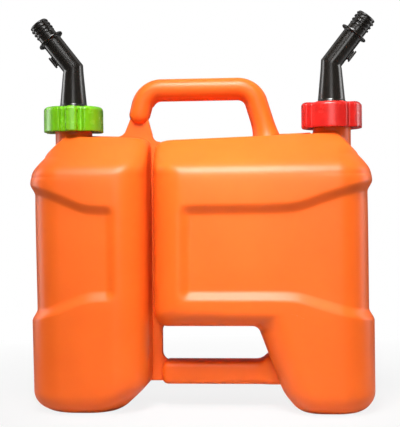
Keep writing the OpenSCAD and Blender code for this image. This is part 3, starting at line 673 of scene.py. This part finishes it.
def nut(name, x, turn, plastic, body, node):
    """Rings of the outline from the foot up, drawn in over a rounded edge, across the top to
    the lip, down the lip and the threaded bore, and back to the foot."""
    bearing = np.linspace(0, 2 * np.pi, NUT_SIDES, endpoint=False)[None]
    a = np.radians(np.linspace(0, 90, 9))
    back = np.concatenate([[0.8, 0.25, 0.0], np.zeros(6), NUT_EDGE * (1 - np.cos(a))])[:, None]
    z = np.concatenate([[0, 0.25, 0.8], np.linspace(2, NUT_H - NUT_EDGE - 1, 6),
                        NUT_H - NUT_EDGE * (1 - np.sin(a))])
    r = nut_radius(bearing, back)
    top = np.linspace(0, 1, 6)[1:, None]
    r = np.vstack([r, r[-1:] * (1 - top) + (LIP_R + 0.6) * top, LIP_R + 0 * bearing,
                   LIP_R + 0 * bearing])
    z = np.concatenate([z, [NUT_H] * 5, [NUT_H - 0.6, NUT_H - NUT_LIP]])
    bore_z = np.linspace(NUT_H - NUT_LIP, 0.6, 90)
    ridge = thread(bearing + turn, bore_z[:, None] + NUT_Z + PITCH / 2, NUT_Z + PITCH / 2 + 2,
                   NUT_Z + PITCH / 2 + NUT_H - NUT_LIP - 6, 0.22)
    r = np.vstack([r, NUT_BORE_R - 1.5 * ridge, NUT_BORE_R + 0.6 + 0 * bearing, r[:1]])
    z = np.concatenate([z, bore_z, [0, 0]])
    rings = np.stack([x + r * np.cos(bearing + turn), r * np.sin(bearing + turn),
                      NUT_Z + z[:, None] + 0 * bearing], 2)
    piece = skin(name, rings, caps=False)
    piece.data.materials.append(plastic)
    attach(piece, body)
    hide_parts(node)


def glossy_plastic(name, dark, light):
    """Glossy injection-moulded plastic: a faint flow pattern in the colour, fine ripple."""
    mat = bpy.data.materials.new(name)
    mat.use_nodes = True
    nodes, links = mat.node_tree.nodes, mat.node_tree.links
    shader = nodes["Principled BSDF"]
    shader.inputs["Subsurface Weight"].default_value = 0.08
    shader.inputs["Subsurface Scale"].default_value = 0.003
    place = nodes.new("ShaderNodeTexCoord")
    flow = nodes.new("ShaderNodeTexNoise")
    flow.inputs["Scale"].default_value = 90
    flow.inputs["Detail"].default_value = 3
    links.new(place.outputs["Object"], flow.inputs["Vector"])
    shade = nodes.new("ShaderNodeValToRGB")
    shade.color_ramp.elements[0].position = 0.3
    shade.color_ramp.elements[0].color = (*dark, 1)
    shade.color_ramp.elements[1].position = 0.7
    shade.color_ramp.elements[1].color = (*light, 1)
    links.new(flow.outputs["Fac"], shade.inputs["Fac"])
    links.new(shade.outputs["Color"], shader.inputs["Base Color"])
    gloss = nodes.new("ShaderNodeMapRange")
    gloss.inputs["To Min"].default_value = 0.2
    gloss.inputs["To Max"].default_value = 0.32
    links.new(flow.outputs["Fac"], gloss.inputs["Value"])
    links.new(gloss.outputs["Result"], shader.inputs["Roughness"])
    bump = nodes.new("ShaderNodeBump")
    bump.inputs["Strength"].default_value = 0.06
    bump.inputs["Distance"].default_value = 0.0005
    links.new(flow.outputs["Fac"], bump.inputs["Height"])
    links.new(bump.outputs["Normal"], shader.inputs["Normal"])
    return mat


green = glossy_plastic("green_union_plastic", (0.16, 0.48, 0.005), (0.2, 0.56, 0.008))
red = glossy_plastic("red_union_plastic", (0.52, 0.012, 0.01), (0.62, 0.02, 0.014))
nut("green_union_nut", -NECK_X, np.radians(336), green, "oil_union", "oil_nut")
nut("red_union_nut", NECK_X, np.radians(265), red, "fuel_union", "fuel_nut")

# Studio
# A white floor under a gridded soft box above the lens, with a weak fill from the front and
# a strip light at each side. A long lens stands nearly square to the front, level, at waist height.


def white_floor():
    """Pale paint that glows white to the lens, wholly so away from the object's shadow."""
    mat = bpy.data.materials.new("white_floor")
    mat.use_nodes = True
    nodes, links = mat.node_tree.nodes, mat.node_tree.links
    nodes.clear()
    paint = nodes.new("ShaderNodeBsdfDiffuse")
    paint.inputs["Color"].default_value = (0.6, 0.6, 0.6, 1)
    glow = nodes.new("ShaderNodeEmission")
    glow.inputs["Color"].default_value = (1, 1, 1, 1)
    glow.inputs["Strength"].default_value = 1.0
    place = nodes.new("ShaderNodeTexCoord")
    away = nodes.new("ShaderNodeVectorMath")
    away.operation = "LENGTH"
    links.new(place.outputs["Object"], away.inputs[0])
    share = nodes.new("ShaderNodeMapRange")
    share.inputs["From Min"].default_value = 0.25
    share.inputs["From Max"].default_value = 0.7
    share.inputs["To Min"].default_value = 0.85
    share.inputs["To Max"].default_value = 1.0
    links.new(away.outputs["Value"], share.inputs["Value"])
    ray = nodes.new("ShaderNodeLightPath")
    seen = nodes.new("ShaderNodeMath")
    seen.operation = "MULTIPLY"
    links.new(ray.outputs["Is Camera Ray"], seen.inputs[0])
    links.new(share.outputs["Result"], seen.inputs[1])
    mix = nodes.new("ShaderNodeMixShader")
    out = nodes.new("ShaderNodeOutputMaterial")
    links.new(seen.outputs["Value"], mix.inputs["Fac"])
    links.new(paint.outputs["BSDF"], mix.inputs[1])
    links.new(glow.outputs["Emission"], mix.inputs[2])
    links.new(mix.outputs["Shader"], out.inputs["Surface"])
    return mat


floor_mesh = bpy.data.meshes.new("studio_floor")
floor_mesh.from_pydata([(-4, -4, 0), (4, -4, 0), (4, 4, 0), (-4, 4, 0)], [], [[0, 1, 2, 3]])
floor = bpy.data.objects.new("studio_floor", floor_mesh)
floor.data.materials.append(white_floor())
bpy.context.scene.collection.objects.link(floor)


def lamp(name, place, target, size, watts, spread=180):
    """A rectangular soft box that faces a point of the object, with a grid that narrows it."""
    light = bpy.data.lights.new(name, "AREA")
    light.shape = "RECTANGLE"
    light.size, light.size_y = size
    light.energy = watts
    light.spread = np.radians(spread)
    piece = bpy.data.objects.new(name, light)
    way = np.array(target, float) - np.array(place, float)
    piece.location = place
    piece.rotation_euler = (np.arctan2(np.hypot(way[0], way[1]), -way[2]), 0,
                            np.arctan2(-way[0], way[1]))
    bpy.context.scene.collection.objects.link(piece)


lamp("key_soft_box", (0.0, -0.47, 0.78), (0.03, -0.05, 0.23), (0.3, 0.45), 1.5, 50)
lamp("front_fill", (0.1, -1.6, 0.48), (0, 0, 0.2), (0.6, 0.6), 3.9)
lamp("left_strip", (-0.95, 0.15, 0.35), (-0.15, 0, 0.2), (0.35, 1.0), 4.4)
lamp("right_strip", (0.95, 0.15, 0.35), (0.15, 0, 0.2), (0.35, 1.0), 4.4)


def white_room():
    """White to the lens. Reflections show bright sides, a dark front and a dim back, and the
    diffuse light that falls in is even and weak."""
    world = bpy.data.worlds.new("white_room")
    world.use_nodes = True
    nodes, links = world.node_tree.nodes, world.node_tree.links
    room = nodes["Background"]
    room.inputs["Color"].default_value = (1, 1, 1, 1)
    place = nodes.new("ShaderNodeTexCoord")
    split = nodes.new("ShaderNodeSeparateXYZ")
    links.new(place.outputs["Generated"], split.inputs["Vector"])
    shown = nodes.new("ShaderNodeMapRange")
    shown.inputs["From Min"].default_value = 0.0
    shown.inputs["From Max"].default_value = 0.3
    shown.inputs["To Min"].default_value = 0.08
    links.new(split.outputs["Y"], shown.inputs["Value"])
    fade = nodes.new("ShaderNodeMapRange")
    fade.inputs["From Min"].default_value = 0.5
    fade.inputs["From Max"].default_value = 0.9
    fade.inputs["To Min"].default_value = 0.6
    fade.inputs["To Max"].default_value = 0.1
    links.new(split.outputs["Y"], fade.inputs["Value"])
    links.new(fade.outputs["Result"], shown.inputs["To Max"])
    ray = nodes.new("ShaderNodeLightPath")
    mirrored = nodes.new("ShaderNodeMath")
    mirrored.operation = "MAXIMUM"
    links.new(ray.outputs["Is Glossy Ray"], mirrored.inputs[0])
    links.new(ray.outputs["Is Transmission Ray"], mirrored.inputs[1])
    indirect = nodes.new("ShaderNodeMapRange")
    indirect.inputs["To Min"].default_value = 0.06
    links.new(mirrored.outputs["Value"], indirect.inputs["Value"])
    links.new(shown.outputs["Result"], indirect.inputs["To Max"])
    level = nodes.new("ShaderNodeMapRange")
    level.inputs["To Max"].default_value = 1.0
    links.new(ray.outputs["Is Camera Ray"], level.inputs["Value"])
    links.new(indirect.outputs["Result"], level.inputs["To Min"])
    links.new(level.outputs["Result"], room.inputs["Strength"])
    return world


bpy.context.scene.world = white_room()

AZIMUTH, ROLL, DISTANCE, LENS, EYE_Z, ASIDE = np.radians(5.0), 0.0099, 1.2, 94.2, 0.206, 0.0025
camera = bpy.data.cameras.new("front_lens")
camera.lens = LENS
camera.sensor_width = 36
camera.clip_end = 20
lens = bpy.data.objects.new("front_lens", camera)
lens.location = (DISTANCE * np.sin(AZIMUTH) - ASIDE * np.cos(AZIMUTH),
                 -DISTANCE * np.cos(AZIMUTH) - ASIDE * np.sin(AZIMUTH), EYE_Z)
lens.rotation_euler = (np.pi / 2, ROLL, AZIMUTH)
bpy.context.scene.collection.objects.link(lens)
bpy.context.scene.camera = lens
bpy.context.scene.view_settings.view_transform = "Standard"
